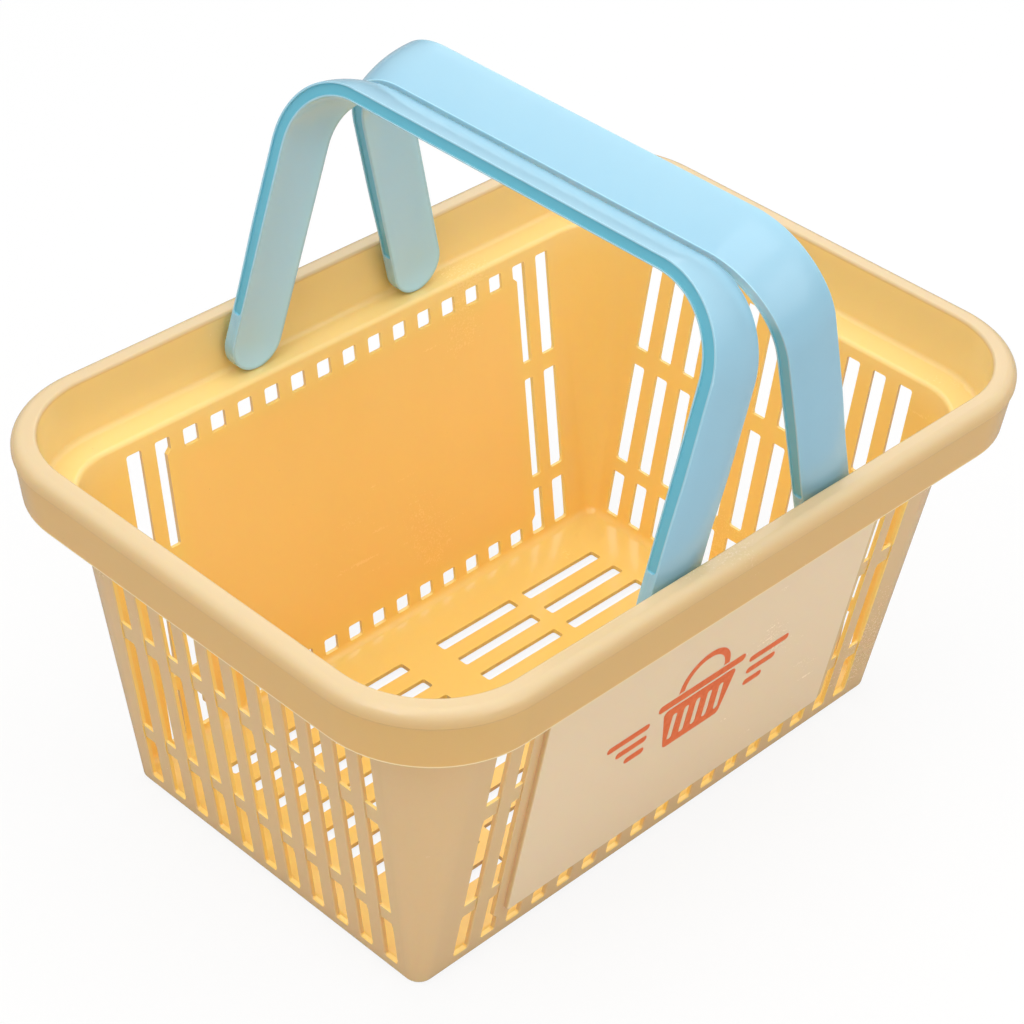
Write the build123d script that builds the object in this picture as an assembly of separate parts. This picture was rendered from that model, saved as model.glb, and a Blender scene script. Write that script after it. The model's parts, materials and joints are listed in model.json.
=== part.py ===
from build123d import *
import math
import os

# Shopping basket: one moulded tub, two identical swing handles and a printed mark.
# Millimetres.  X runs along the basket, Y across it, +Z up.
# The origin is the centre of the base, on the surface the basket stands on.

# ---------------- tub walls and floor ----------------
BASE_X = 342.6          # outside length at the base
BASE_Y = 213.0          # outside width at the base
BASE_R = 8.0            # outside corner radius at the base
SLOPE_X = 0.140         # the short walls lean out by this much per mm of height
SLOPE_Y = 0.160         # the long walls
CORNER_GROW = 0.155     # the corner radius grows by this much per mm of height
WALL_T = 2.5            # wall thickness
BASE_EDGE_R = 1.6       # outside edge radius round the base
FLOOR_T = 2.6
FLOOR_FILLET = 5.0      # inside radius between floor and walls
FLOOR_STEP = 1.2        # middle of the floor is raised by this much
FLOOR_STEP_RUN = 2.4    # over this width
FLOOR_FIELD_X = 306.0   # size of the raised middle
FLOOR_FIELD_Y = 180.0
FLOOR_FIELD_R = 12.0
FLOOR_HOLLOW_INSET = 2.0    # the hollow under it is smaller by this much all round
TILT_X = math.atan(SLOPE_X)
TILT_Y = math.atan(SLOPE_Y)

# ---------------- rim: ledge, upright band, flat top, turned-down skirt ----------------
LEDGE_Z = 184.8         # top of the ledge
LEDGE_T = 2.6
LEDGE_OUTER_R = 3.0     # inside radius between the ledge and the band
LEDGE_INNER_R = 2.8     # radius where the ledge turns down into the walls
BAND_X = 424.8          # inside of the band at the ledge
BAND_Y = 299.2
BAND_R = 52.4
BAND_DRAFT = 2.0        # degrees, the band widens upwards
BAND_T = 2.6
BAND_BOTTOM_R = 1.6     # outside radius under the ledge and band
RIM_Z = 218.3           # top of the rim
RIM_X = 451.4           # outside of the rim
RIM_Y = 325.6
RIM_R = 64.5
RIM_T = 2.8
RIM_EDGE_R = 6.2
RIM_INNER_EDGE_R = 1.8
RIM_LIP_H = 8.2         # height of the rim's edge above the skirt
RIM_LIP = 0.9           # the skirt is set in by this much under it
RIM_LIP_R = 0.8         # radius along the bottom of the rim's edge
SKIRT_Z = 185.7         # bottom edge of the skirt
SKIRT_T = 2.4
SKIRT_DRAFT = 6.6       # degrees, the skirt narrows downwards
HOLLOW_DRAFT = SKIRT_DRAFT - 0.8
HOLLOW_R = 2.4          # top edge radius of the hollow under the rim

# ---------------- slots ----------------
PITCH_X = 18.0          # column pitch on the long walls
COLS_X = 17
PITCH_Y = 17.65         # column pitch on the short walls
COLS_Y = 11
SLOT_W = 9.4            # slots in the long walls
SLOT_WY = 8.8           # slots in the short walls
SLOT_R = 1.4
SLOT_LIP = 0.6          # outside chamfer of every slot but the notched ones
LIP_OVERLAP = 0.4       # the chamfer cutters start this far outside the wall
LIP_REF_Z = 95.0        # height of the planes they are drawn on
ROWS = ((7.0, 35.5), (43.7, 106.3), (116.3, 177.0))    # bottom and top heights
WINDOWS = ((6.2, 15.5), (167.0, 177.0))     # small windows under and over the panel
WINDOW_R = 1.2
TIE_RECESS = 0.8        # cross ties sit back from the upright bars
TIE_OVERLAP = 1.0       # the recess runs this far into the lowest and highest slots

FLOOR_SLOT_W = 7.6
FLOOR_SLOT_R = 1.4
FLOOR_SLOT_ROWS = 9
FLOOR_SLOT_PITCH = 17.65
FLOOR_SLOTS_X = ((12.8, 71.2), (80.3, 138.6))   # start and end, from the middle outwards

# ---------------- raised panel on each long wall ----------------
PANEL_X = 235.2
PANEL_Z0 = 20.5
PANEL_Z1 = 163.0
PANEL_MID_Z = (PANEL_Z0 + PANEL_Z1) / 2
PANEL_RAISE = 2.6
PANEL_SINK = 1.2        # starts this far inside the wall face
PANEL_CORNER_R = 2.0
PANEL_EDGE_R = 0.9
PANEL_NARROW = 2.8      # the slots next to the panel are narrower by this much
NOTCH_Z0 = 16.4         # they are full width below this height
NOTCH_Z1 = 170.0        # and above this one
NOTCH_R = 1.2

# ---------------- handle pivots ----------------
PIVOT_X = 56.0
PIVOT_Z = 201.8
STUD_R = 5.0
STUD_CLEAR = 0.06       # radial clearance of the stud in its hole
STUD_HEAD_R = 6.3       # the head behind the band keeps the stud in
STUD_HEAD_Y = 153.7
STUD_END = 156.4        # how far out the stud reaches
STUD_CHAMFER = 1.2
STUD_ROOT = 3.0         # the stud starts this far inside the leg
COLLAR_R = 8.0
COLLAR_END = 149.85     # thrust collar stops just short of the band
COLLAR_ROOT = 1.0
PIVOT_HOLE_MID = 1.5    # middle of the hole cutter, out from the inside of the band
PIVOT_HOLE_L = 8.0
CORE_HOLE_W = 9.1       # opening in the ledge under each foot
CORE_HOLE_Y0 = 142.2
CORE_HOLE_GAP = 0.2     # stops this short of the band
CORE_HOLE_H = 8.0
CORE_HOLE_DROP = 1.0    # middle of its cutter below the top of the ledge

# ---------------- handle ----------------
HANDLE_W = 31.6         # width of the strap
HANDLE_T = 8.8          # thickness of the strap
HANDLE_H = 153.0        # pivot to the outside of the crossbar
HANDLE_HALF = 148.4     # outside of a leg from the middle plane, at the pivot
HANDLE_NARROW = 1.2     # degrees each leg leans in towards the crossbar
HANDLE_BEND_R = 46.5    # outside radius of each bend
HANDLE_SHEAR = 6.0      # degrees: the crossbar face slopes towards the other handle
HANDLE_LEG_Z0 = -40.0   # the legs are drawn down to here, then cut to round feet
HANDLE_EDGE_R = 2.1     # outer edges of the strap
HANDLE_INNER_EDGE_R = 0.9
GROOVE_W = 5.2          # groove along each narrow side
GROOVE_LIP = 2.3        # strap left between the groove and the outer face
GROOVE_DEPTH = 2.4
GROOVE_END = 15.0       # groove stops this far above the pivot
LEAN_LEFT = 16.8        # degrees each raised handle leans in past upright,
LEAN_RIGHT = 14.3       # until the two crossbars meet
HALF_W = HANDLE_W / 2
LEG_LEAN = math.tan(math.radians(HANDLE_NARROW))
SHEAR = math.tan(math.radians(HANDLE_SHEAR))

# ---------------- print on the -Y panel ----------------
PRINT_T = 0.10
PRINT_RISE = 6.0        # the mark sits this far above the middle of the panel
BOWL = ((-27, 6), (27, 6), (20.5, -24), (-20.5, -24))   # x, y corners
BOWL_R = 3.0
BOWL_GAP_PITCH = 8.6
ARC_Y = 14.5            # centre of the mark's handle arc
ARC_OUTER_R = 18.5
ARC_INNER_R = 14.5
ARC_CLIP_X = 60
ARC_CLIP_Y = 30
STRIPES = ((30, 4.0), (22, -4.6), (14, -13.2))      # length, y
STRIPE_X = 37           # inner end of each stripe
STRIPE_H = 4.2
STRIPE_R = 2.0


# ---------------- shared helpers ----------------
def wall_x(z):
    """Outside of the short walls at height z."""
    return BASE_X / 2 + SLOPE_X * z


def wall_y(z):
    """Outside of the long walls at height z."""
    return BASE_Y / 2 + SLOPE_Y * z


def long_wall_plane(side, z, x=0):
    """Plane on the outside of a long wall, facing out, its y up the slope."""
    return Plane(origin=(x, side * wall_y(z), z), x_dir=(-side, 0, 0),
                 z_dir=(0, side * math.cos(TILT_Y), -math.sin(TILT_Y)))


def short_wall_plane(side, z, y=0):
    """The same on a short wall."""
    return Plane(origin=(side * wall_x(z), y, z), x_dir=(0, side, 0),
                 z_dir=(side * math.cos(TILT_X), 0, -math.sin(TILT_X)))


def centred(index, count, pitch):
    """Place of one item in an evenly spaced row about zero."""
    return (index - (count - 1) / 2) * pitch


def round_prism(length, width, radius, z0, z1, taper=0.0):
    """Rounded rectangle sized at z0, carried to z1; a negative taper widens it."""
    outline = Plane.XY.offset(z0) * RectangleRounded(length, width, radius)
    return extrude(outline, z1 - z0, taper=taper)


def bottom_fillet(solid, radius):
    return fillet(solid.edges().group_by(Axis.Z)[0], radius)


def top_fillet(solid, radius):
    return fillet(solid.edges().group_by(Axis.Z)[-1], radius)


# ---------------- tub shell ----------------
def tub_outline(inset_x, inset_y, z):
    """Points of the four straight sides and four corner arcs at height z, in turn."""
    x = wall_x(z) - inset_x
    y = wall_y(z) - inset_y
    r = BASE_R + CORNER_GROW * z - 0.5 * (inset_x + inset_y)
    to_arc_mid = r * (1 - math.sqrt(0.5))
    xs, ys = x - r, y - r                       # ends of the straight sides
    xm, ym = x - to_arc_mid, y - to_arc_mid     # middles of the arcs
    lines = (((xs, -y), (-xs, -y)), ((-x, -ys), (-x, ys)),
             ((-xs, y), (xs, y)), ((x, ys), (x, -ys)))
    arcs = (((-xs, -y), (-xm, -ym), (-x, -ys)), ((-x, ys), (-xm, ym), (-xs, y)),
            ((xs, y), (xm, ym), (x, ys)), ((x, -ys), (xm, -ym), (xs, -y)))
    return [[[Vector(a, b, z) for a, b in points] for points in group]
            for group in (lines, arcs)]


def tub_prism(inset_x, inset_y, z0, z1):
    """The tub's sloping outline, set in by a level distance, between two heights:
    four flat walls, four corner surfaces that widen upwards, and two flat ends."""
    low_lines, low_arcs = tub_outline(inset_x, inset_y, z0)
    high_lines, high_arcs = tub_outline(inset_x, inset_y, z1)
    faces = []
    for low, high in zip(low_lines, high_lines):
        corners = (low[0], low[1], high[1], high[0], low[0])
        faces.append(Face(Wire([Edge.make_line(a, b) for a, b in zip(corners, corners[1:])])))
    for low, high in zip(low_arcs, high_arcs):
        faces.append(Face.make_surface_from_curves(Edge.make_three_point_arc(*low),
                                                   Edge.make_three_point_arc(*high)))
    for lines, arcs in ((low_lines, low_arcs), (high_lines, high_arcs)):
        edges = []
        for line, arc in zip(lines, arcs):
            edges += [Edge.make_line(*line), Edge.make_three_point_arc(*arc)]
        faces.append(Face(Wire(edges)))
    solid = Solid(Shell(faces))
    # a negative volume means the shell is inside out
    return solid if solid.volume > 0 else Solid(Shell([-face for face in faces]))


def level_edges(solid, z, half_x, half_y, min_size=0):
    """Edges lying level at z whose middle is inside the given half sizes."""
    found = []
    for edge in solid.edges():
        box = edge.bounding_box()
        if abs(box.min.Z - z) < 0.02 and abs(box.max.Z - z) < 0.02 and box.size.length >= min_size:
            middle = edge.position_at(0.5)
            if abs(middle.X) < half_x and abs(middle.Y) < half_y:
                found.append(edge)
    return found


def tub_shell():
    """Walls, floor, ledge, band and rim, before any slots."""
    outer = bottom_fillet(tub_prism(0, 0, 0, LEDGE_Z), BASE_EDGE_R)
    # the insets are the wall thickness measured level
    cavity = tub_prism(WALL_T / math.cos(TILT_X), WALL_T / math.cos(TILT_Y),
                       FLOOR_T, LEDGE_Z + 20)
    cavity = bottom_fillet(cavity, FLOOR_FILLET)

    lip_z = RIM_Z - RIM_LIP_H
    skirt_inset = RIM_LIP + (lip_z - SKIRT_Z) * math.tan(math.radians(SKIRT_DRAFT))
    skirt_x = RIM_X - 2 * skirt_inset      # outside of the skirt at its bottom edge
    skirt_y = RIM_Y - 2 * skirt_inset
    skirt_r = RIM_R - skirt_inset
    skirt = round_prism(skirt_x, skirt_y, skirt_r, SKIRT_Z, lip_z + 1.0, -SKIRT_DRAFT)
    lip = round_prism(RIM_X, RIM_Y, RIM_R, lip_z, RIM_Z)
    lip = top_fillet(lip, RIM_EDGE_R)
    lip = bottom_fillet(lip, RIM_LIP_R)
    block = skirt + lip

    hollow_size = (skirt_x - 2 * SKIRT_T, skirt_y - 2 * SKIRT_T, skirt_r - SKIRT_T)
    hollow = round_prism(*hollow_size, SKIRT_Z, RIM_Z - RIM_T, -HOLLOW_DRAFT)
    hollow = top_fillet(hollow, HOLLOW_R)
    hollow = hollow + round_prism(*hollow_size, SKIRT_Z - 30, SKIRT_Z)

    band = round_prism(BAND_X + 2 * BAND_T, BAND_Y + 2 * BAND_T, BAND_R + BAND_T,
                       LEDGE_Z - LEDGE_T, RIM_Z - 1.0, -BAND_DRAFT)
    band = bottom_fillet(band, BAND_BOTTOM_R)
    band_space = round_prism(BAND_X, BAND_Y, BAND_R, LEDGE_Z, RIM_Z + 1, -BAND_DRAFT)
    band_space = bottom_fillet(band_space, LEDGE_OUTER_R)

    rim = block - (hollow - band)
    tub = rim + band + outer
    tub = tub - band_space - cavity

    # inner edges of the rim top, then of the ledge
    tub = fillet(level_edges(tub, RIM_Z, BAND_X / 2 + 2.5, BAND_Y / 2 + 2.5, min_size=1),
                 RIM_INNER_EDGE_R)
    return fillet(level_edges(tub, LEDGE_Z, wall_x(LEDGE_Z) + 0.5, wall_y(LEDGE_Z) + 0.5),
                  LEDGE_INNER_R)


def raise_floor(tub):
    """Middle of the floor: up on the inside, hollow underneath."""
    top = round_prism(FLOOR_FIELD_X + 2 * FLOOR_STEP_RUN, FLOOR_FIELD_Y + 2 * FLOOR_STEP_RUN,
                      FLOOR_FIELD_R + FLOOR_STEP_RUN, FLOOR_T, FLOOR_T + FLOOR_STEP,
                      math.degrees(math.atan(FLOOR_STEP_RUN / FLOOR_STEP)))
    under = round_prism(FLOOR_FIELD_X - 2 * FLOOR_HOLLOW_INSET,
                        FLOOR_FIELD_Y - 2 * FLOOR_HOLLOW_INSET,
                        FLOOR_FIELD_R - FLOOR_HOLLOW_INSET, -1, FLOOR_STEP)
    return tub + top - under


def wall_panel(side):
    """Raised panel lying on a sloping long wall."""
    plane = long_wall_plane(side, PANEL_MID_Z)
    height = (PANEL_Z1 - PANEL_Z0) / math.cos(TILT_Y)
    outline = plane.offset(-PANEL_SINK) * RectangleRounded(PANEL_X, height, PANEL_CORNER_R)
    panel = extrude(outline, PANEL_SINK + PANEL_RAISE)
    front = panel.faces().sort_by(lambda face: face.center().dot(plane.z_dir))[-1]
    return fillet(front.edges(), PANEL_EDGE_R)


# ---------------- slots ----------------
def slot(across, z0, z1, width=SLOT_W, radius=SLOT_R):
    """Slot outline, drawn looking level at the wall."""
    return Pos(across, (z0 + z1) / 2) * RectangleRounded(width, z1 - z0, radius)


def notched_slot(x, z0, z1, side):
    """Slot beside the panel: side is the sign of X towards the panel."""
    far = -SLOT_W / 2 * side
    near = SLOT_W / 2 * side
    narrow = (SLOT_W / 2 - PANEL_NARROW) * side
    points = [(far, z0), (far, z1)]
    if z1 > NOTCH_Z1:
        points += [(near, z1), (near, NOTCH_Z1), (narrow, NOTCH_Z1 - PANEL_NARROW)]
    else:
        points += [(narrow, z1)]
    if z0 < NOTCH_Z0:
        points += [(narrow, NOTCH_Z0 + PANEL_NARROW), (near, NOTCH_Z0), (near, z0)]
    else:
        points += [(narrow, z0)]
    outline = make_face(Polyline([(x + a, z) for a, z in points], close=True))
    return fillet(outline.vertices(), NOTCH_R)


def long_wall_slots():
    """End columns plain, the next ones notched, windows in all the others."""
    shapes = []
    for i in range(COLS_X):
        x = centred(i, COLS_X, PITCH_X)
        if i in (0, COLS_X - 1):
            shapes += [slot(x, z0, z1) for z0, z1 in ROWS]
        elif i in (1, COLS_X - 2):
            shapes += [notched_slot(x, z0, z1, 1 if i == 1 else -1) for z0, z1 in ROWS]
        else:
            shapes += [slot(x, z0, z1, radius=WINDOW_R) for z0, z1 in WINDOWS]
    return [extrude(Plane.XZ * shape, 220, both=True) for shape in shapes]


def short_wall_slots():
    shapes = [slot(centred(j, COLS_Y, PITCH_Y), z0, z1, width=SLOT_WY)
              for j in range(COLS_Y) for z0, z1 in ROWS]
    return [extrude(Plane.YZ * shape, 260, both=True) for shape in shapes]


def slot_chamfer(plane, tilt, across, z0, z1, width, radius):
    """Chamfer cutter: the slot's outline on the wall's face, widened outwards."""
    depth = SLOT_LIP + LIP_OVERLAP
    up_slope = ((z0 + z1) / 2 - LIP_REF_Z) / math.cos(tilt)
    height = (z1 - z0) / math.cos(tilt)
    outline = plane * (Pos(across, up_slope) * RectangleRounded(
        width + 2 * depth, height + 2 * depth, radius + depth))
    return extrude(outline, -depth, taper=45)


def slot_chamfers():
    cutters = []
    for side in (-1, 1):
        long_face = long_wall_plane(side, LIP_REF_Z).offset(LIP_OVERLAP)
        short_face = short_wall_plane(side, LIP_REF_Z).offset(LIP_OVERLAP)
        for z0, z1 in ROWS:
            for i in (0, COLS_X - 1):
                x = centred(i, COLS_X, PITCH_X)
                cutters.append(slot_chamfer(long_face, TILT_Y, -side * x, z0, z1,
                                            SLOT_W, SLOT_R))
            for j in range(COLS_Y):
                y = centred(j, COLS_Y, PITCH_Y)
                cutters.append(slot_chamfer(short_face, TILT_X, side * y, z0, z1,
                                            SLOT_WY, SLOT_R))
        for i in range(2, COLS_X - 2):
            x = centred(i, COLS_X, PITCH_X)
            for z0, z1 in WINDOWS:
                cutters.append(slot_chamfer(long_face, TILT_Y, -side * x, z0, z1,
                                            SLOT_W, WINDOW_R))
    return cutters


def tie_channels():
    """Shallow channel down the outside of each slot column, setting the ties back."""
    z0 = ROWS[0][1] - TIE_OVERLAP
    z1 = ROWS[2][0] + TIE_OVERLAP
    mid_z = (z0 + z1) / 2
    # column, width, shift along X; those beside the panel are narrower and further out
    narrow = SLOT_W - PANEL_NARROW
    long_columns = ((0, SLOT_W, 0), (1, narrow, -PANEL_NARROW / 2),
                    (COLS_X - 2, narrow, PANEL_NARROW / 2), (COLS_X - 1, SLOT_W, 0))
    channels = []
    for side in (-1, 1):
        for j in range(COLS_Y):
            plane = short_wall_plane(side, mid_z, centred(j, COLS_Y, PITCH_Y))
            channels.append(plane * Box(SLOT_WY, (z1 - z0) / math.cos(TILT_X), 2 * TIE_RECESS))
        for i, width, shift in long_columns:
            plane = long_wall_plane(side, mid_z, centred(i, COLS_X, PITCH_X) + shift)
            channels.append(plane * Box(width, (z1 - z0) / math.cos(TILT_Y), 2 * TIE_RECESS))
    return channels


def floor_slots():
    cutters = []
    for k in range(FLOOR_SLOT_ROWS):
        y = centred(k, FLOOR_SLOT_ROWS, FLOOR_SLOT_PITCH)
        for x0, x1 in FLOOR_SLOTS_X:
            for side in (-1, 1):
                outline = RectangleRounded(x1 - x0, FLOOR_SLOT_W, FLOOR_SLOT_R)
                cutter = extrude(Pos(side * (x0 + x1) / 2, y) * outline, 12)
                cutters.append(Pos(0, 0, -3) * cutter)
    return cutters


def cut_pivots(tub):
    """Pivot holes through the band and the opening in the ledge under each foot."""
    core_y1 = BAND_Y / 2 - CORE_HOLE_GAP
    for side_x in (-1, 1):
        for side_y in (-1, 1):
            x = side_x * PIVOT_X
            tub = tub - (Pos(x, side_y * (BAND_Y / 2 + PIVOT_HOLE_MID), PIVOT_Z)
                         * Rot(90, 0, 0) * Cylinder(STUD_R + STUD_CLEAR, PIVOT_HOLE_L))
            tub = tub - (Pos(x, side_y * (CORE_HOLE_Y0 + core_y1) / 2, LEDGE_Z - CORE_HOLE_DROP)
                         * Box(CORE_HOLE_W, core_y1 - CORE_HOLE_Y0, CORE_HOLE_H))
    return tub


def make_tub():
    tub = raise_floor(tub_shell())
    for side in (-1, 1):
        tub = tub + wall_panel(side)
    tub = tub - long_wall_slots()
    tub = tub - short_wall_slots()
    tub = tub - slot_chamfers()
    tub = tub - tie_channels()
    tub = tub - floor_slots()
    tub = cut_pivots(tub)
    return tub.solids()[0] if len(tub.solids()) == 1 else tub


# ---------------- handle ----------------
# Built standing upright over the origin: Y across the basket, Z up from the
# pivot axis, X across the strap.  +X is the side that meets the other handle.
def handle_area(inset, z_start):
    """Area inside the handle's outside line moved in by inset, from z_start up."""
    level_inset = inset / math.cos(math.radians(HANDLE_NARROW))
    top = HANDLE_H - inset
    y_low = HANDLE_HALF - level_inset - LEG_LEAN * z_start
    y_top = HANDLE_HALF - level_inset - LEG_LEAN * top
    area = make_face(Polyline([(-y_low, z_start), (-y_top, top), (y_top, top), (y_low, z_start)],
                              close=True))
    corners = [v for v in area.vertices() if abs(v.Y - top) < 0.01]
    return fillet(corners, HANDLE_BEND_R - inset)


def handle_strip(outer_inset, inner_inset, z_start):
    """The strip between two such lines."""
    strip = handle_area(outer_inset, z_start) - handle_area(inner_inset, z_start - 5.0)
    return strip.faces()[0]


def oblique(face, x0, x1):
    """Carry a YZ outline from x0 to x1, sliding down as x grows."""
    start = Pos(x0, 0, -x0 * SHEAR) * (Plane.YZ * face)
    return Solid.extrude(start.faces()[0], Vector(x1 - x0, 0, -(x1 - x0) * SHEAR))


def is_inner_edge(middle):
    """Whether a strap edge with this midpoint lies on the inner face."""
    half_t = HANDLE_T / 2
    from_leg = HANDLE_HALF - LEG_LEAN * middle.Z - abs(middle.Y)
    from_top = HANDLE_H - middle.X * SHEAR - middle.Z
    near_bend = abs(middle.Y) > HANDLE_HALF - 30 and middle.Z > HANDLE_H - 30
    # the bend centre is about 3 further in, as the legs lean
    from_bend_centre = math.hypot(abs(middle.Y) - (HANDLE_HALF - HANDLE_BEND_R - 3),
                                  middle.Z - (HANDLE_H - HANDLE_BEND_R))
    outside_bend = near_bend and from_bend_centre > HANDLE_BEND_R - half_t
    return min(from_leg, from_top) > half_t and not outside_bend


def soften_strap(body):
    """Round the long edges above the pivot, outer face more than inner face."""
    outer_edges = []
    inner_middles = []
    for edge in body.edges():
        middle = edge.position_at(0.5)
        if abs(abs(middle.X) - HALF_W) > 0.05 or middle.Z < 0.5:
            continue
        if is_inner_edge(middle):
            inner_middles.append(middle)
        else:
            outer_edges.append(edge)
    body = fillet(outer_edges, HANDLE_EDGE_R)
    # the first fillet makes a new solid, so the inner edges are found again
    inner_edges = [edge for edge in body.edges()
                   if any((edge.position_at(0.5) - middle).length < 0.05
                          for middle in inner_middles)]
    return fillet(inner_edges, HANDLE_INNER_EDGE_R)


def pivot_cylinder(side, radius, y0, y1):
    return Pos(0, side * (y0 + y1) / 2, 0) * Rot(90, 0, 0) * Cylinder(radius, y1 - y0)


def make_handle():
    body = oblique(handle_strip(0, HANDLE_T, HANDLE_LEG_Z0), -HALF_W, HALF_W)
    groove = handle_strip(GROOVE_LIP, GROOVE_LIP + GROOVE_W, GROOVE_END)
    groove_plus_x = oblique(groove, HALF_W - GROOVE_DEPTH, HALF_W + 5)
    groove_minus_x = oblique(groove, -HALF_W - 5, -HALF_W + GROOVE_DEPTH)

    # round the feet about the pivot axis
    above_pivot = Box(HANDLE_W + 2, 400, HANDLE_H + 60,
                      align=(Align.CENTER, Align.CENTER, Align.MIN))
    foot = Rot(90, 0, 0) * Cylinder(HALF_W, 400)
    body = (body & (above_pivot + foot)).solids()[0]

    # the edges are softened before the grooves go in
    body = soften_strap(body)
    body = body - groove_plus_x - groove_minus_x
    for side in (-1, 1):
        stud = pivot_cylinder(side, STUD_R, HANDLE_HALF - STUD_ROOT, STUD_END)
        head = pivot_cylinder(side, STUD_HEAD_R, STUD_HEAD_Y, STUD_END)
        circles = head.edges().filter_by(GeomType.CIRCLE)
        tip = circles.sort_by(lambda edge: side * edge.center().Y)[-1]
        head = chamfer(tip, STUD_CHAMFER)
        collar = pivot_cylinder(side, COLLAR_R, HANDLE_HALF - COLLAR_ROOT, COLLAR_END)
        body = body + stud + head + collar
    return body.solids()[0]


# ---------------- printed mark ----------------
def bar(x, y, width, height, radius):
    return Pos(x, y) * RectangleRounded(width, height, radius)


def basket_mark():
    """A plain basket symbol: slotted bowl, rim bar and handle arc."""
    bowl = make_face(Polyline(BOWL, close=True))
    bowl = fillet(bowl.vertices(), BOWL_R)
    for k in range(-2, 3):
        bowl -= bar(k * BOWL_GAP_PITCH, -9.5, width=3.4, height=19, radius=1.6)
    rim_bar = bar(0, 10.4, width=64, height=5.2, radius=2.5)
    arc = Pos(0, ARC_Y) * (Circle(ARC_OUTER_R) - Circle(ARC_INNER_R))
    arc = arc & (Pos(0, ARC_Y + ARC_CLIP_Y / 2) * Rectangle(ARC_CLIP_X, ARC_CLIP_Y))
    return [bowl, rim_bar, arc]


def make_print():
    """The basket symbol with three stripes on each side, on the -Y panel."""
    plane = long_wall_plane(-1, PANEL_MID_Z).offset(PANEL_RAISE)
    marks = basket_mark()
    for side in (-1, 1):
        for length, y in STRIPES:
            marks.append(bar(side * (STRIPE_X + length / 2), y, length, STRIPE_H, STRIPE_R))
    solids = []
    for mark in marks:
        solids += list(extrude(plane * (Pos(0, PRINT_RISE) * mark), PRINT_T).solids())
    return Compound(children=solids)


# ---------------- assembly and export ----------------
handle = make_handle()
parts = {
    "basket_tub": make_tub(),
    "left_handle": Pos(-PIVOT_X, 0, PIVOT_Z) * Rot(0, LEAN_LEFT, 0) * handle,
    "right_handle": (Pos(PIVOT_X, 0, PIVOT_Z) * Rot(0, -LEAN_RIGHT, 0)
                     * Rot(0, 0, 180) * handle),
    "panel_print": make_print(),
}

os.makedirs("parts", exist_ok=True)
for name, part in parts.items():
    export_step(part, f"parts/{name}.step")
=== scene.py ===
import json
import math

import bmesh
import bpy
from mathutils import Matrix, Vector


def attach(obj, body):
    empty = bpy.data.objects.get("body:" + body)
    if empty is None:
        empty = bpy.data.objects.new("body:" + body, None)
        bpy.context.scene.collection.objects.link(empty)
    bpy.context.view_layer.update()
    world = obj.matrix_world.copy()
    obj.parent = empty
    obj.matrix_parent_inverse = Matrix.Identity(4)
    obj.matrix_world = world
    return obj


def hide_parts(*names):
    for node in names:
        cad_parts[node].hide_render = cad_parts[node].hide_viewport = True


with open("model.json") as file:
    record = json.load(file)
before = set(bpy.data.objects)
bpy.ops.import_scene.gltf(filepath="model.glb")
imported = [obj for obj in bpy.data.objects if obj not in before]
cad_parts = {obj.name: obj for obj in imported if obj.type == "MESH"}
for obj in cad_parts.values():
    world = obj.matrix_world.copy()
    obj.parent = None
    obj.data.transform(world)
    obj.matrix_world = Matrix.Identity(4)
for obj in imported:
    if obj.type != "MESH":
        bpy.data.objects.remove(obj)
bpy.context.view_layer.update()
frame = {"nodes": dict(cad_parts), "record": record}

scene = bpy.context.scene
nodes = frame["nodes"]


# ------------------------------------------------------------------ node helpers
def new_material(name):
    m = bpy.data.materials.new(name)
    m.use_nodes = True
    nt = m.node_tree
    nt.nodes.clear()
    return m, nt


def node(nt, kind, **kw):
    n = nt.nodes.new(kind)
    for k, v in kw.items():
        setattr(n, k, v)
    return n


def link(nt, a, b):
    nt.links.new(a, b)


def srgb(r, g, b):
    def f(c):
        c = c / 255.0
        return c / 12.92 if c <= 0.04045 else ((c + 0.055) / 1.055) ** 2.4
    return (f(r), f(g), f(b), 1.0)


def mix_rgb(nt, fac, a, b, blend="MIX"):
    n = node(nt, "ShaderNodeMix", data_type="RGBA", blend_type=blend)
    n.clamp_factor = True
    for sock, val in ((n.inputs[0], fac), (n.inputs[6], a), (n.inputs[7], b)):
        if isinstance(val, (int, float)):
            sock.default_value = val
        elif isinstance(val, tuple):
            sock.default_value = val
        else:
            link(nt, val, sock)
    return n.outputs[2]


def math_node(nt, op, a, b=0.0, c=0.0, clamp=False):
    n = node(nt, "ShaderNodeMath", operation=op)
    n.use_clamp = clamp
    for sock, val in zip(n.inputs, (a, b, c)):
        if isinstance(val, (int, float)):
            sock.default_value = val
        else:
            link(nt, val, sock)
    return n.outputs[0]


def noise(nt, vec, scale, detail=2.0, rough=0.5):
    n = node(nt, "ShaderNodeTexNoise")
    n.inputs["Scale"].default_value = scale
    n.inputs["Detail"].default_value = detail
    n.inputs["Roughness"].default_value = rough
    link(nt, vec, n.inputs["Vector"])
    return n.outputs["Fac"]


def ramp(nt, fac, lo, hi, a=0.0, b=1.0):
    n = node(nt, "ShaderNodeMapRange")
    n.inputs["From Min"].default_value = lo
    n.inputs["From Max"].default_value = hi
    n.inputs["To Min"].default_value = a
    n.inputs["To Max"].default_value = b
    link(nt, fac, n.inputs["Value"])
    return n.outputs[0]


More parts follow.
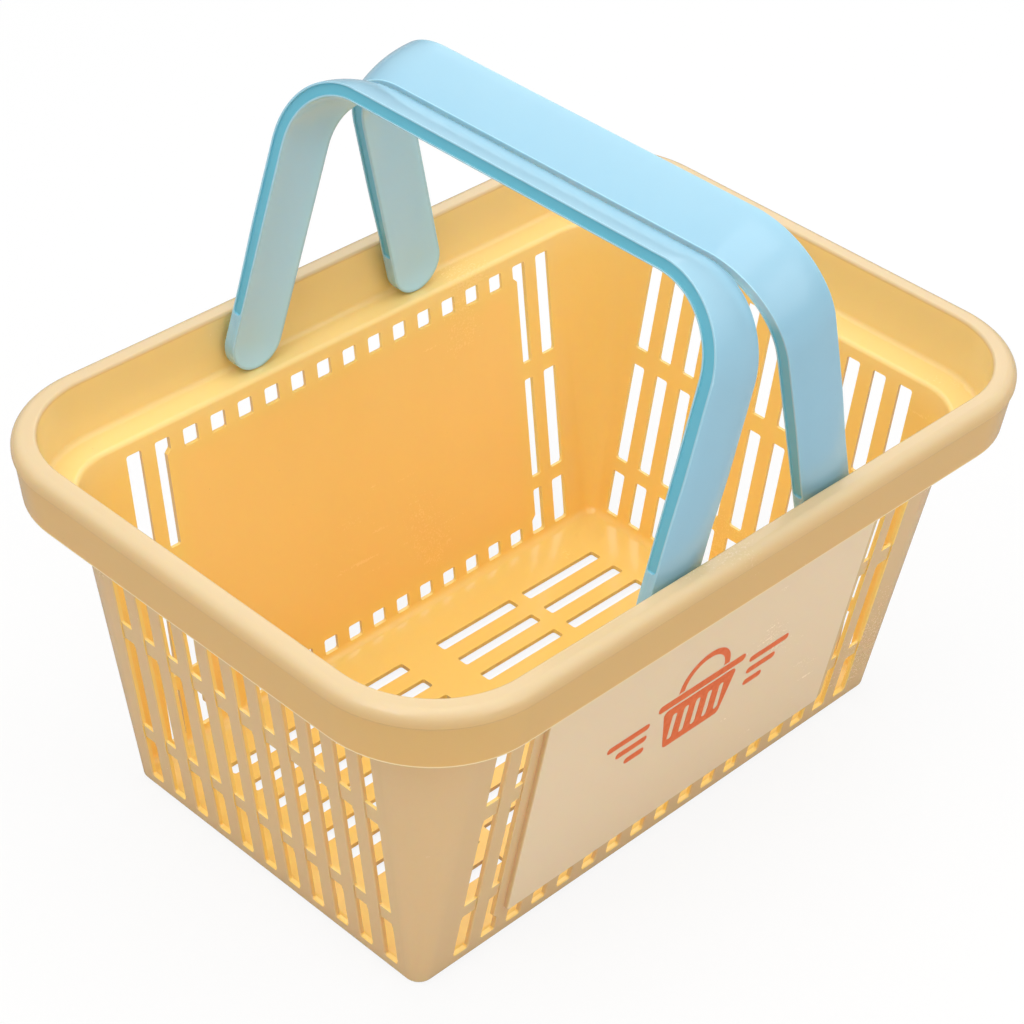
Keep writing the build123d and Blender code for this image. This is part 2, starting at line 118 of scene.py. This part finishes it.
def outside_mask(nt):
    """1 on the tub's outside faces, 0 on the inside, from which way each face looks."""
    geo = node(nt, "ShaderNodeNewGeometry")
    tc = node(nt, "ShaderNodeTexCoord")
    flat_p = node(nt, "ShaderNodeVectorMath", operation="MULTIPLY")
    link(nt, tc.outputs["Object"], flat_p.inputs[0])
    flat_p.inputs[1].default_value = (1.0, 1.0, 0.0)
    unit = node(nt, "ShaderNodeVectorMath", operation="NORMALIZE")
    link(nt, flat_p.outputs[0], unit.inputs[0])
    dot = node(nt, "ShaderNodeVectorMath", operation="DOT_PRODUCT")
    link(nt, unit.outputs[0], dot.inputs[0])
    link(nt, geo.outputs["True Normal"], dot.inputs[1])
    return ramp(nt, dot.outputs["Value"], 0.02, 0.30, 0.0, 1.0)


def moulded_plastic(name, base, deep, highlight_tone, rough=0.24, sss=0.10, sss_radius=(0.012, 0.006, 0.002),
                    outside=None, lower_wall_reflection=None, panel_reflection=None, floor_shade=None,
                    band_light=None, rim_top_sheen=None, recess=None, inner=None, edge_sheen=0.0, coat=0.22):
    """Injection-moulded polypropylene: faint flow shading, a fine satin grain,
    handling marks that only change the gloss, and edges painted paler as a painted highlight.
    The optional region tones are painted light and shade: the outside painted darker than the inside's
    painted glow, painted reflections of the floor on the lower walls and panel, a painted sheen on the
    rim top, painted shade on the floor and painted light on the band."""
    m, nt = new_material(name)
    out = node(nt, "ShaderNodeOutputMaterial")
    p = node(nt, "ShaderNodeBsdfPrincipled")
    link(nt, p.outputs[0], out.inputs[0])
    geo = node(nt, "ShaderNodeNewGeometry")
    tc = node(nt, "ShaderNodeTexCoord")
    vec = tc.outputs["Object"]
    sep = node(nt, "ShaderNodeSeparateXYZ")
    link(nt, vec, sep.inputs[0])

    # long soft streaks, as the melt flows up the walls
    mp = node(nt, "ShaderNodeMapping")
    mp.inputs["Scale"].default_value = (14.0, 14.0, 4.0)
    link(nt, vec, mp.inputs["Vector"])
    flow = noise(nt, mp.outputs[0], 1.0, 3.0, 0.55)
    cloud = noise(nt, vec, 9.0, 2.0)
    tone = math_node(nt, "ADD", math_node(nt, "MULTIPLY", flow, 0.6), math_node(nt, "MULTIPLY", cloud, 0.4))
    col = mix_rgb(nt, ramp(nt, tone, 0.35, 0.65, 0.0, 1.0), base, deep)
    mask = None
    if floor_shade is not None:
        # painted shade: the floor and the foot of the walls are painted a deeper orange, as the shade deep inside
        # the tub
        col = mix_rgb(nt, ramp(nt, sep.outputs["Z"], 0.004, 0.050, 1.0, 0.0), col, floor_shade)
    if band_light is not None:
        # painted light: from the band under the rim upwards the inside is painted paler, as the brighter light
        # near the opening
        col = mix_rgb(nt, ramp(nt, sep.outputs["Z"], 0.165, 0.190, 0.0, 1.0), col, band_light)
    if outside is not None:
        # slopes that face up, such as the step round the floor, belong to the inside
        tn = node(nt, "ShaderNodeSeparateXYZ")
        link(nt, geo.outputs["True Normal"], tn.inputs[0])
        steep = math_node(nt, "MAXIMUM", ramp(nt, tn.outputs["Z"], 0.30, 0.60, 1.0, 0.0),
                          ramp(nt, sep.outputs["Z"], 0.1845, 0.1850, 0.0, 1.0))
        mask = math_node(nt, "MAXIMUM", math_node(nt, "MULTIPLY", outside_mask(nt), steep),
                         ramp(nt, sep.outputs["Z"], 0.2160, 0.2176, 0.0, 1.0))
        # painted shade: the outside faces are painted darker than the inside, whose bright base colour is a
        # painted glow of light through the walls and bouncing inside
        col = mix_rgb(nt, mask, col, outside)
        if rim_top_sheen is not None:
            # painted sheen: the top of the rim is painted paler, as a reflection of the lamps
            rim_sheen_mask = math_node(nt, "MULTIPLY", mask, ramp(nt, sep.outputs["Z"], 0.2085, 0.2175, 0.0, 1.0))
            col = mix_rgb(nt, rim_sheen_mask, col, rim_top_sheen)
        if lower_wall_reflection is not None:
            # painted reflection: the outer walls under the rim are painted paler than the rim, as a reflection of
            # the white floor
            below = ramp(nt, sep.outputs["Z"], 0.183, 0.1855, 1.0, 0.0)
            low = math_node(nt, "MULTIPLY", mask, below)
            col = mix_rgb(nt, low, col, lower_wall_reflection)
            # painted highlight: a thin pale line along the skirt's bottom edge, as light caught on its rounding
            lip = math_node(nt, "MULTIPLY", mask, math_node(nt, "MULTIPLY",
                            ramp(nt, sep.outputs["Z"], 0.1852, 0.1856, 0.0, 1.0),
                            ramp(nt, sep.outputs["Z"], 0.1862, 0.1866, 1.0, 0.0)))
            col = mix_rgb(nt, math_node(nt, "MULTIPLY", lip, 0.75), col, highlight_tone)
        if panel_reflection is not None:
            # painted reflection: the raised panel is painted the palest, as a reflection of the white floor
            ax = math_node(nt, "ABSOLUTE", sep.outputs["X"])
            inx = ramp(nt, ax, 0.1168, 0.1176, 1.0, 0.0)
            lo_z = ramp(nt, sep.outputs["Z"], 0.0196, 0.0204, 0.0, 1.0)
            hi_z = ramp(nt, sep.outputs["Z"], 0.1636, 0.1644, 1.0, 0.0)
            face = math_node(nt, "MULTIPLY", math_node(nt, "MULTIPLY", lo_z, hi_z), math_node(nt, "MULTIPLY", inx, mask))
            col = mix_rgb(nt, face, col, panel_reflection)
    # tones that follow the strap's section: painted shade makes the recess a deeper cyan, painted light makes the
    # inner face paler
    for name_, tint in (("recess", recess), ("inner", inner)):
        if tint is not None:
            at = node(nt, "ShaderNodeAttribute", attribute_name=name_)
            col = mix_rgb(nt, at.outputs["Fac"], col, tint)
    # painted highlight: edges are painted paler, as if they catch a little more light
    if edge_sheen > 0.0:
        edge = ramp(nt, geo.outputs["Pointiness"], 0.53, 0.62, 0.0, edge_sheen)
        col = mix_rgb(nt, edge, col, highlight_tone)
    # a few pin-size specks in the colour
    vor = node(nt, "ShaderNodeTexVoronoi", feature="F1")
    vor.inputs["Scale"].default_value = 55.0
    link(nt, vec, vor.inputs["Vector"])
    speck = ramp(nt, vor.outputs["Distance"], 0.012, 0.020, 0.35, 0.0)
    col = mix_rgb(nt, speck, col, tuple(c * 0.45 for c in deep[:3]) + (1.0,))
    link(nt, col, p.inputs["Base Color"])

    # gloss: fine satin grain plus faint scuffs
    grain = noise(nt, vec, 900.0, 2.0)
    scuff_map = node(nt, "ShaderNodeMapping")
    scuff_map.inputs["Scale"].default_value = (30.0, 30.0, 260.0)
    scuff_map.inputs["Rotation"].default_value = (0.5, 0.3, 0.2)
    link(nt, vec, scuff_map.inputs["Vector"])
    scuff = ramp(nt, noise(nt, scuff_map.outputs[0], 1.0, 1.5, 0.5), 0.62, 0.90, 0.0, 0.03)
    r = math_node(nt, "ADD", ramp(nt, grain, 0.3, 0.7, rough - 0.01, rough + 0.01), scuff)
    r = math_node(nt, "ADD", r, ramp(nt, cloud, 0.3, 0.7, -0.03, 0.03))
    link(nt, r, p.inputs["Roughness"])

    # relief: satin texture from the mould and slow waviness of a thin wall
    b1 = node(nt, "ShaderNodeBump")
    b1.inputs["Strength"].default_value = 0.006
    b1.inputs["Distance"].default_value = 0.00004
    link(nt, grain, b1.inputs["Height"])
    b2 = node(nt, "ShaderNodeBump")
    b2.inputs["Strength"].default_value = 0.25
    b2.inputs["Distance"].default_value = 0.0003
    link(nt, noise(nt, vec, 22.0, 0.0), b2.inputs["Height"])
    link(nt, b1.outputs[0], b2.inputs["Normal"])
    link(nt, b2.outputs[0], p.inputs["Normal"])

    p.inputs["IOR"].default_value = 1.49
    p.inputs["Subsurface Weight"].default_value = sss
    p.inputs["Subsurface Radius"].default_value = sss_radius
    p.inputs["Subsurface Scale"].default_value = 1.0
    p.inputs["Coat Weight"].default_value = coat
    p.inputs["Coat Roughness"].default_value = 0.08
    return m


def ink(name, base, dark):
    """Pad-printed ink: slightly uneven coverage and a satin gloss."""
    m, nt = new_material(name)
    out = node(nt, "ShaderNodeOutputMaterial")
    p = node(nt, "ShaderNodeBsdfPrincipled")
    link(nt, p.outputs[0], out.inputs[0])
    tc = node(nt, "ShaderNodeTexCoord")
    vec = tc.outputs["Object"]
    n1 = noise(nt, vec, 260.0, 4.0, 0.6)
    n2 = noise(nt, vec, 40.0, 2.0)
    fac = math_node(nt, "MULTIPLY", ramp(nt, n1, 0.35, 0.75, 0.0, 1.0), ramp(nt, n2, 0.3, 0.7, 0.3, 1.0))
    link(nt, mix_rgb(nt, fac, base, dark), p.inputs["Base Color"])
    link(nt, ramp(nt, n1, 0.3, 0.7, 0.38, 0.52), p.inputs["Roughness"])
    b = node(nt, "ShaderNodeBump")
    b.inputs["Strength"].default_value = 0.15
    b.inputs["Distance"].default_value = 0.00006
    link(nt, n1, b.inputs["Height"])
    link(nt, b.outputs[0], p.inputs["Normal"])
    return m


# painted light in the tub's colours: the bright base is a painted glow inside, outside painted shade, lower walls
# and panel painted reflections, rim top a painted sheen, floor painted shade, band painted light, the third
# colour a painted highlight
tub_mat = moulded_plastic("tub_plastic", (0.96, 0.640, 0.210, 1), (0.945, 0.620, 0.195, 1), (0.95, 0.78, 0.48, 1),
                          sss=0.30, outside=(0.755, 0.448, 0.160, 1), lower_wall_reflection=(0.70, 0.500, 0.260, 1),
                          panel_reflection=(0.860, 0.685, 0.455, 1), floor_shade=(0.97, 0.615, 0.175, 1),
                          band_light=(0.95, 0.680, 0.285, 1), rim_top_sheen=(0.66, 0.488, 0.272, 1))
# painted light in the handle's colours: the third colour is the edges' painted highlight, recess painted shade,
# inner painted light
handle_mat = moulded_plastic("handle_plastic", (0.318, 0.545, 0.665, 1), (0.305, 0.532, 0.658, 1), (0.52, 0.74, 0.84, 1),
                             rough=0.17, edge_sheen=0.35, sss=0.45, sss_radius=(0.004, 0.005, 0.005),
                             recess=(0.140, 0.465, 0.590, 1), inner=(0.46, 0.76, 0.93, 1))
ink_mat = ink("print_ink", srgb(238, 112, 52), srgb(226, 98, 42))


def put(obj, mat):
    obj.data.materials.clear()
    obj.data.materials.append(mat)


def soften(obj, width, segments=2, angle=28.0):
    """A moulded edge radius, with shading weighted to the large faces so that they stay flat."""
    w = obj.modifiers.new("join", "WELD")
    w.merge_threshold = 0.00001
    b = obj.modifiers.new("edge_radius", "BEVEL")
    b.width = width
    b.segments = segments
    b.limit_method = "ANGLE"
    b.angle_limit = math.radians(angle)
    b.use_clamp_overlap = True
    b.harden_normals = False
    b.miter_outer = "MITER_ARC"
    n = obj.modifiers.new("flat_faces", "WEIGHTED_NORMAL")
    n.mode = "FACE_AREA"
    n.weight = 100
    n.keep_sharp = False
    n.thresh = 0.0001


# ------------------------------------------------------------------ handles
# Each handle is one strap swept round a U: crowned outside, hollowed a little inside, with a
# thin rounded lip over a shallow recess along both edges, round feet, and a pair of studs.
MM = 0.001
S_HALF, S_H, S_T, S_BEND = 148.4, 153.0, 8.8, 46.5
S_W = 16.42                # half the strap's width
S_IN = math.radians(1.2)   # each leg leans in by this much
S_SHEAR = math.tan(math.radians(6.0))
CROWN, DISH = 1.9, 2.0
SWELL = 1.4                # how much thicker the legs are outwards than the crossbar
LIP_R, RECESS, RECESS_TOP, RECESS_LOW = 0.42, 1.0, 2.85, 7.9
RECESS_END = 15.0


def strap_half(depth, squeeze):
    """Half of the cross-section, from the middle of the outer face to the middle of the
    inner one: (across, outward, recess tone (painted shade), inner-face tone (painted light))."""
    pts = []
    n = 16
    for i in range(n):
        u = (S_W - LIP_R) * i / (n - 1)
        pts.append((u, -CROWN * (u / S_W) ** 2, 0.0, 0.0))
    ve = pts[-1][1]
    for i in range(1, 6):
        t = math.radians(90 * i / 5)
        pts.append((S_W - LIP_R + LIP_R * math.sin(t), ve - LIP_R + LIP_R * math.cos(t), 0.0, 0.0))
    mid = 0.5 * (RECESS_TOP + RECESS_LOW)
    half = 0.5 * (RECESS_LOW - RECESS_TOP) * squeeze
    va, vb = -(mid - half), -(mid + half)
    g = RECESS * depth
    k = 0.22
    pts.append((S_W, va + k, 0.0, 0.0))
    pts.append((S_W - 0.06, va + 0.07, 0.1, 0.0))
    pts.append((S_W - k, va, 0.5, 0.0) if g > k else (S_W - g * 0.5, va, 0.1, 0.0))
    d = 1.0 if depth > 0.5 else depth * 2
    pts.append((S_W - max(g - k, 0), va - 0.02, d, 0.0))
    pts.append((S_W - g, va - k, d, 0.0))
    for i in range(1, 5):
        f = i / 5
        pts.append((S_W - g + 0.10 * depth * f, va - k + (vb - va + 2 * k) * f, d, 0.0))
    pts.append((S_W - g + 0.10 * depth, vb + k, d, 0.0))
    pts.append((S_W - max(g - k, 0), vb + 0.02, d, 0.0))
    pts.append((S_W - k, vb, 0.5, 0.0) if g > k else (S_W - g * 0.5, vb, 0.1, 0.0))
    pts.append((S_W - 0.06, vb - 0.07, 0.1, 0.0))
    r = 0.5
    for i in range(0, 5):
        t = math.radians(90 * i / 4)
        pts.append((S_W - r + r * math.cos(t), -S_T + r - r * math.sin(t), 0.0, 0.25 * i / 4))
    n = 12
    for i in range(1, n + 1):
        u = (S_W - r) * (1 - i / n)
        rise = DISH * (1 - (u / (S_W - r)) ** 2) ** 1.0
        pts.append((u, -S_T + rise, 0.0, 1.0))
    return pts


def strap_stations():
    """Where the cross-section sits: (y, z, outward y, outward z, recess depth, recess squeeze)."""
    out = []
    ca, sa = math.cos(S_IN), math.sin(S_IN)
    k = math.tan(S_IN)
    zc = S_H - S_BEND
    yc = S_HALF - k * zc - S_BEND / ca
    z_bend = zc + S_BEND * sa
    e = RECESS_END
    zs = [0.0, 4.0, 8.0, 11.0, 13.5, e - 0.05]
    zs += [e + 0.02, e + 0.12, e + 0.3, e + 0.55, e + 0.9, e + 1.3, e + 1.8, e + 2.3]
    z = e + 6.0
    while z < z_bend - 4:
        zs.append(z)
        z += 7.0
    zs.append(z_bend)
    for z in zs:
        if z < e:
            depth, sq = 0.0, 0.15
        else:
            t = min((z - e) / 2.3, 1.0)
            sq = max(math.sqrt(1 - (1 - t) ** 2), 0.15)
            depth = min((z - e) / 0.9, 1.0)
            depth = depth * depth * (3 - 2 * depth)
        out.append((S_HALF - k * z, z, ca, sa, depth, sq))
    n = 30
    for i in range(1, n + 1):
        t = S_IN + (math.pi / 2 - S_IN) * i / n
        out.append((yc + S_BEND * math.cos(t), zc + S_BEND * math.sin(t), math.cos(t), math.sin(t), 1.0, 1.0))
    y = yc - 8.0
    while y > 0.5:
        out.append((y, S_H, 0.0, 1.0, 1.0, 1.0))
        y -= 8.0
    out.append((0.0, S_H, 0.0, 1.0, 1.0, 1.0))
    other = [(-s[0], s[1], -s[2], s[3], s[4], s[5]) for s in reversed(out[:-1])]
    return out + other


def strap(name, matrix):
    bm = bmesh.new()
    recess = bm.verts.layers.float.new("recess")
    inner = bm.verts.layers.float.new("inner")

    def add(x, y, z, tone_a, tone_b):
        f = min(max((z - 18.0) / 45.0, 0.0), 1.0)
        f = f * f * (3 - 2 * f)
        v = bm.verts.new(matrix @ Vector((x * MM, y * MM, (z - x * S_SHEAR * f) * MM)))
        v[recess] = tone_a
        v[inner] = tone_b
        return v

    stations = strap_stations()
    rings = []
    for y, z, ny, nz, depth, sq in stations:
        half = strap_half(depth, sq)
        # the legs swell outwards between the foot and the bend
        up = min(max((z - 24.0) / 45.0, 0.0), 1.0)
        sw = SWELL * up * up * (3 - 2 * up) * abs(ny)
        half = [(u, v + sw * (1 + v / S_T), a, b) for u, v, a, b in half]
        # along the crossbar the edge that meets the other handle drops the recess's painted shade and takes the
        # inner face's painted light, lifting the shade of the seam
        flat = min(max((nz - 0.35) / 0.45, 0.0), 1.0)
        plus = [add(u, y + v * ny, z + v * nz, a * (1 - flat), max(b, flat if u > S_W - 1.2 and i > 15 else 0.0))
                for i, (u, v, a, b) in enumerate(half)]
        minus = [plus[0]] + [add(-u, y + v * ny, z + v * nz, a, b) for u, v, a, b in half[1:-1]] + [plus[-1]]
        rings.append((plus, minus))
    m = len(rings[0][0])
    for (p0, q0), (p1, q1) in zip(rings, rings[1:]):
        for i in range(m - 1):
            bm.faces.new((p0[i], p0[i + 1], p1[i + 1], p1[i]))
            bm.faces.new((q0[i + 1], q0[i], q1[i], q1[i + 1]))
    # round feet: the half section turned about the pivot
    for end in (0, -1):
        y, z, ny, nz, depth, sq = stations[end]
        ty, tz = (-nz, ny) if ny > 0 else (nz, -ny)
        half = strap_half(0.0, 0.15)
        plus, minus = rings[end]
        rows = [plus]
        n = 36
        for j in range(1, n):
            t = -math.pi * j / n
            row = [plus[0]]
            for u, v, a, b in half[1:-1]:
                row.append(add(u * math.cos(t), y + v * ny + u * math.sin(t) * ty, z + v * nz + u * math.sin(t) * tz, a, b))
            row.append(plus[-1])
            rows.append(row)
        rows.append(minus)
        for r0, r1 in zip(rows, rows[1:]):
            for i in range(m - 1):
                quad = [r0[i], r1[i], r1[i + 1], r0[i + 1]]
                seen = []
                for v in quad:
                    if v not in seen:
                        seen.append(v)
                bm.faces.new(seen)
    # studs: thrust collar, journal and snap head
    lathe = [(0.0, S_HALF - 4.0), (7.6, S_HALF - 4.0), (7.6, 149.35), (7.45, 149.7), (7.1, 149.85), (5.0, 149.85), (5.0, 153.7),
             (6.1, 153.7), (6.3, 153.9), (6.3, 155.2), (5.2, 156.3), (4.9, 156.4), (0.0, 156.4)]
    for sy in (-1, 1):
        cols = []
        n = 40
        first = add(0, sy * lathe[0][1], 0, 0, 0)
        last = add(0, sy * lathe[-1][1], 0, 0, 0)
        for j in range(n):
            t = 2 * math.pi * j / n
            cols.append([add(r * math.cos(t), sy * yy, r * math.sin(t), 0, 0) for r, yy in lathe[1:-1]])
        for j in range(n):
            c0, c1 = cols[j], cols[(j + 1) % n]
            bm.faces.new((first, c1[0], c0[0]))
            for i in range(len(c0) - 1):
                bm.faces.new((c0[i], c1[i], c1[i + 1], c0[i + 1]))
            bm.faces.new((last, c0[-1], c1[-1]))
    bmesh.ops.recalc_face_normals(bm, faces=bm.faces)
    me = bpy.data.meshes.new(name)
    bm.to_mesh(me)
    bm.free()
    for poly in me.polygons:
        poly.use_smooth = True
    me.set_sharp_from_angle(angle=math.radians(34))
    obj = bpy.data.objects.new(name, me)
    scene.collection.objects.link(obj)
    return obj


tub = nodes["basket_tub"]
prt = nodes["panel_print"]
put(tub, tub_mat)
put(prt, ink_mat)
soften(tub, 0.00035)

for joint in frame["record"]["behaviour"]["joints"]:
    lean = math.radians(max(abs(a) for a in joint["range_deg"]) - 90.0)
    body = joint["child"]
    side = 1.0 if body == "left_handle" else -1.0
    place = Matrix.Translation(Vector(joint["pos_m"])) @ Matrix.Rotation(side * lean, 4, "Y")
    if side < 0:
        place = place @ Matrix.Rotation(math.pi, 4, "Z")
    piece = strap(body + "_strap", place)
    put(piece, handle_mat)
    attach(piece, body)
    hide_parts(body)

# ------------------------------------------------------------------ floor
def floor_material():
    """Pale seamless floor.  Seen directly it is the white of the backdrop with a
    faint contact shade; as a bounce surface it is a soft grey card."""
    m, nt = new_material("studio_floor")
    out = node(nt, "ShaderNodeOutputMaterial")
    p = node(nt, "ShaderNodeBsdfPrincipled")
    tc = node(nt, "ShaderNodeTexCoord")
    n = noise(nt, tc.outputs["Object"], 3.0, 2.0)
    path = node(nt, "ShaderNodeLightPath")
    card = mix_rgb(nt, n, (0.76, 0.76, 0.76, 1), (0.79, 0.79, 0.785, 1))
    link(nt, mix_rgb(nt, path.outputs["Is Glossy Ray"], card, (0.34, 0.34, 0.34, 1)), p.inputs["Base Color"])
    p.inputs["Roughness"].default_value = 0.9
    p.inputs["Specular IOR Level"].default_value = 0.1
    e = node(nt, "ShaderNodeEmission")
    e.inputs["Color"].default_value = (1, 1, 1, 1)
    e.inputs["Strength"].default_value = 1.0
    add = node(nt, "ShaderNodeMixShader")
    add.inputs[0].default_value = 0.86
    link(nt, p.outputs[0], add.inputs[1])
    link(nt, e.outputs[0], add.inputs[2])
    sw = node(nt, "ShaderNodeMixShader")
    link(nt, path.outputs["Is Camera Ray"], sw.inputs[0])
    link(nt, p.outputs[0], sw.inputs[1])
    link(nt, add.outputs[0], sw.inputs[2])
    link(nt, sw.outputs[0], out.inputs[0])
    return m


bpy.ops.mesh.primitive_plane_add(size=1.0, location=(0, 0, -0.0006))
floor = bpy.context.object
floor.name = "studio_floor"
floor.scale = (14.0, 14.0, 1.0)
put(floor, floor_material())

# ------------------------------------------------------------------ light
SKY_LOW, SKY_HIGH = 0.10, 1.30
KEY, TOP, SIDE, FILL = 4.2, 5.5, 0.5, 1.6
world = bpy.data.worlds.new("studio")
scene.world = world
world.use_nodes = True
wt = world.node_tree
bg = wt.nodes["Background"]
wtc = node(wt, "ShaderNodeTexCoord")
sep = node(wt, "ShaderNodeSeparateXYZ")
link(wt, wtc.outputs["Generated"], sep.inputs[0])
sky = node(wt, "ShaderNodeMapRange")
sky.inputs["From Min"].default_value = -0.05
sky.inputs["From Max"].default_value = 0.75
sky.inputs["To Min"].default_value = SKY_LOW
sky.inputs["To Max"].default_value = SKY_HIGH
link(wt, sep.outputs["Z"], sky.inputs["Value"])
wpath = node(wt, "ShaderNodeLightPath")
st = node(wt, "ShaderNodeMix", data_type="FLOAT")
link(wt, wpath.outputs["Is Camera Ray"], st.inputs[0])
link(wt, sky.outputs[0], st.inputs[2])
st.inputs[3].default_value = 1.0
bg.inputs[0].default_value = (1.0, 1.0, 1.0, 1.0)
link(wt, st.outputs[0], bg.inputs[1])


def area(name, loc, target, size, power, color=(1, 1, 1)):
    d = bpy.data.lights.new(name, "AREA")
    d.shape = "RECTANGLE"
    d.size, d.size_y = size
    d.energy = power
    d.color = color
    o = bpy.data.objects.new(name, d)
    scene.collection.objects.link(o)
    o.location = loc
    o.rotation_euler = (Vector(target) - Vector(loc)).to_track_quat("-Z", "Y").to_euler()
    return o


# key: a wide softbox over the camera's shoulder; back: a low strip for the sheen on the rim top
area("key_softbox", (0.35, -1.60, 1.25), (0, 0, 0.12), (1.3, 1.3), KEY)
area("top_softbox", (0.0, 0.0, 2.0), (0, 0, 0.1), (1.4, 1.4), TOP)
side = area("side_softbox", (-0.75, -0.10, 1.15), (0.20, 0.02, 0.08), (0.6, 0.6), SIDE)
side.data.spread = math.radians(70)
area("back_softbox", (1.15, 0.95, 1.15), (0, 0, 0.15), (1.0, 0.8), FILL)

# ------------------------------------------------------------------ camera
AZ, EL, ROLL = math.radians(-48.25), math.radians(37.46), math.radians(3.82)
back = Vector((math.sin(AZ) * math.cos(EL), -math.cos(AZ) * math.cos(EL), math.sin(EL)))
right = Vector((0, 0, 1)).cross(back).normalized()
up = back.cross(right)
r0 = right * math.cos(ROLL) + up * math.sin(ROLL)
r1 = -right * math.sin(ROLL) + up * math.cos(ROLL)
cam_data = bpy.data.cameras.new("camera")
cam = bpy.data.objects.new("camera", cam_data)
scene.collection.objects.link(cam)
loc = Vector((0, 0, 0.090)) + back * 1.4680 + r0 * 0.02758 + r1 * 0.02055
cam.matrix_world = Matrix((
    (r0.x, r1.x, back.x, loc.x),
    (r0.y, r1.y, back.y, loc.y),
    (r0.z, r1.z, back.z, loc.z),
    (0, 0, 0, 1),
))
cam_data.sensor_width = 36.0
cam_data.lens = 2823.05 / 1024 * 36.0
# The lens shift belongs to this viewpoint alone: it drops to nothing when the camera goes elsewhere.
for channel, value in (("shift_x", -(573.08 - 512) / 1024), ("shift_y", (553.61 - 512) / 1024)):
    drv = cam_data.driver_add(channel).driver
    drv.type = "SCRIPTED"
    var = drv.variables.new()
    var.name = "x"
    var.type = "TRANSFORMS"
    var.targets[0].id = cam
    var.targets[0].transform_type = "LOC_X"
    var.targets[0].transform_space = "WORLD_SPACE"
    drv.expression = "%.6f if abs(x - (%.6f)) < 0.0005 else 0.0" % (value, loc.x)
scene.camera = cam

scene.view_settings.view_transform = "Standard"
scene.view_settings.look = "None"
scene.view_settings.exposure = 0.0
